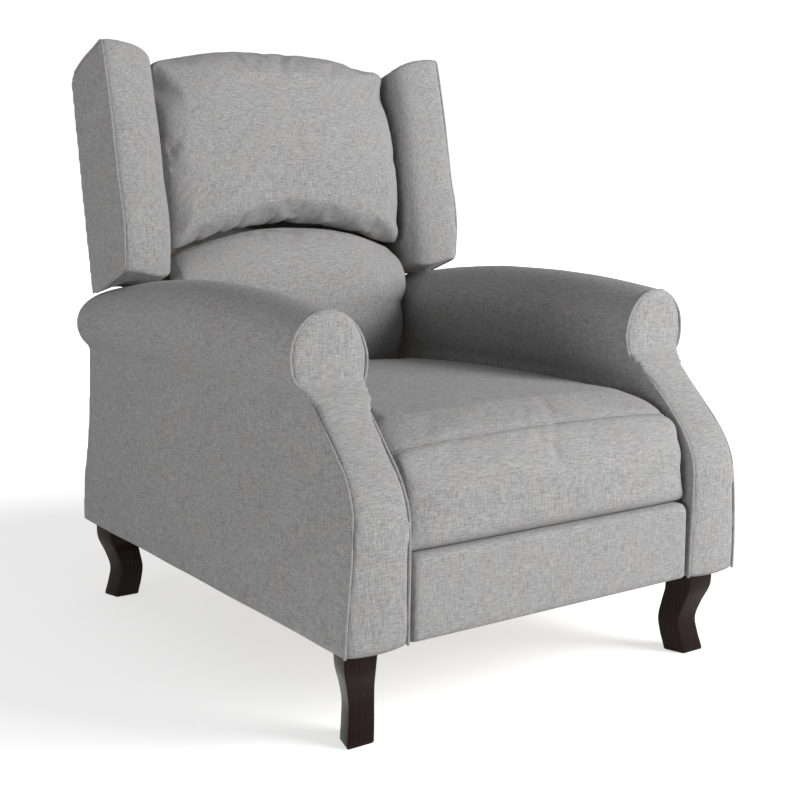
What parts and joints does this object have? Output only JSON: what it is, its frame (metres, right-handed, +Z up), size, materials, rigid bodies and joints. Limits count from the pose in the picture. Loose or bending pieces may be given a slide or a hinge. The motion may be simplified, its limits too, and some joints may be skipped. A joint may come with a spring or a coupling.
{
  "type": "wingback recliner",
  "caption": "High-leg pushback recliner with rolled arms, wing back, loose-look cushions and a footrest that swings out of the front panel.",
  "frame": {"origin": "on the floor under the centre of the overall box, back upright and footrest closed", "axes": "+X to the right as one faces the chair, -Y is the way the chair faces, +Z up"},
  "size_m": [0.7632, 0.9597, 1.032],
  "materials": {
    "linen": "woven",
    "linen_welt": "woven",
    "espresso_wood": "gloss",
    "frame_wood": "raw",
    "black_steel": "satin",
    "zinc_steel": "zinc plated"
  },
  "bodies": {
    "base": {"right_arm_front_panel": "linen", "left_arm_front_panel": "linen", "right_arm_side": "linen", "left_arm_side": "linen", "right_arm_roll": "linen", "left_arm_roll": "linen", "arm_welts": "linen_welt", "right_side_panel": "frame_wood", "left_side_panel": "frame_wood", "right_front_leg": "espresso_wood", "left_front_leg": "espresso_wood", "right_rear_leg": "espresso_wood", "left_rear_leg": "espresso_wood", "leg_bolts": "zinc_steel", "leg_blocks": "frame_wood", "base_mid_rail": "frame_wood", "base_rear_rail": "frame_wood", "right_base_rail": "black_steel", "left_base_rail": "black_steel", "base_rail_screws": "zinc_steel", "swing_base_rivets": "zinc_steel"},
    "front_swing": {"front_swing_links": "black_steel"},
    "rear_swing": {"rear_swing_links": "black_steel"},
    "seat": {"right_seat_plate": "black_steel", "left_seat_plate": "black_steel", "seat_side_rails": "frame_wood", "seat_front_rail": "frame_wood", "seat_rear_rail": "frame_wood", "torque_tube_hangers": "black_steel", "seat_screws": "zinc_steel", "seat_plate_rivets": "zinc_steel", "seat_springs": "zinc_steel", "seat_cushion": "linen", "back_pivot_pins": "zinc_steel"},
    "back": {"lumbar_cushion": "linen", "head_cushion": "linen", "right_wing_panel": "frame_wood", "left_wing_panel": "frame_wood", "right_wing_pad": "linen", "left_wing_pad": "linen", "wing_welts": "linen_welt", "outside_back": "linen", "right_back_post": "frame_wood", "left_back_post": "frame_wood", "back_bottom_rail": "frame_wood", "back_mid_rail": "frame_wood", "back_top_rail": "frame_wood", "back_hinge_brackets": "black_steel"},
    "drive": {"drive_links": "black_steel", "torque_tube": "black_steel", "drive_link_rivets": "zinc_steel"},
    "control": {"control_links": "black_steel", "control_link_rivets": "zinc_steel"},
    "carrier": {"carrier_links": "black_steel"},
    "tilt": {"tilt_links": "black_steel"},
    "footrest": {"footrest_brackets": "black_steel", "footrest_rivets": "zinc_steel", "footrest_screws": "zinc_steel", "footrest_board": "frame_wood", "footrest_pad": "linen"}
  },
  "joints": [
    {"name": "front_swing_turn", "type": "hinge", "parent": "base", "child": "front_swing", "pos_m": [0, -0.112, 0.188], "axis": [1, 0, 0], "range_deg": [0, 42.02]},
    {"name": "rear_swing_turn", "type": "hinge", "parent": "base", "child": "rear_swing", "pos_m": [0, 0.32, 0.188], "axis": [1, 0, 0], "range_deg": [0, 42.02]},
    {"name": "seat_level", "type": "hinge", "parent": "front_swing", "child": "seat", "pos_m": [0, -0.08978, 0.24588], "axis": [1, 0, 0], "range_deg": [-42.02, 0]},
    {"name": "back_recline", "type": "hinge", "parent": "seat", "child": "back", "pos_m": [0, 0.44, 0.235], "axis": [-1, 0, 0], "range_deg": [0, 26]},
    {"name": "footrest_extend", "type": "hinge", "parent": "seat", "child": "drive", "pos_m": [0, -0.3122, 0.2613], "axis": [-1, 0, 0], "range_deg": [0, 134.04]},
    {"name": "control_link_turn", "type": "hinge", "parent": "seat", "child": "control", "pos_m": [0, -0.3551, 0.2544], "axis": [-1, 0, 0], "range_deg": [0, 132.48]},
    {"name": "carrier_link_turn", "type": "hinge", "parent": "drive", "child": "carrier", "pos_m": [0, -0.13996, 0.19628], "axis": [-1, 0, 0], "range_deg": [-111.95, 0]},
    {"name": "tilt_link_turn", "type": "hinge", "parent": "control", "child": "tilt", "pos_m": [0, -0.17371, 0.19951], "axis": [-1, 0, 0], "range_deg": [-109.28, 0]},
    {"name": "footrest_tilt", "type": "hinge", "parent": "carrier", "child": "footrest", "pos_m": [0, -0.42247, 0.22989], "axis": [-1, 0, 0], "range_deg": [0, 64.43]}
  ],
  "couplings": [
    {"joint": "front_swing_turn", "follows": "back_recline", "ratio": 1.6154},
    {"joint": "rear_swing_turn", "follows": "back_recline", "ratio": 1.6154},
    {"joint": "seat_level", "follows": "back_recline", "ratio": -1.6154},
    {"joint": "control_link_turn", "follows": "footrest_extend", "ratio": 0.98821},
    {"joint": "carrier_link_turn", "follows": "footrest_extend", "ratio": -0.83505},
    {"joint": "tilt_link_turn", "follows": "footrest_extend", "ratio": -0.81513},
    {"joint": "footrest_tilt", "follows": "footrest_extend", "ratio": 0.48053}
  ]
}
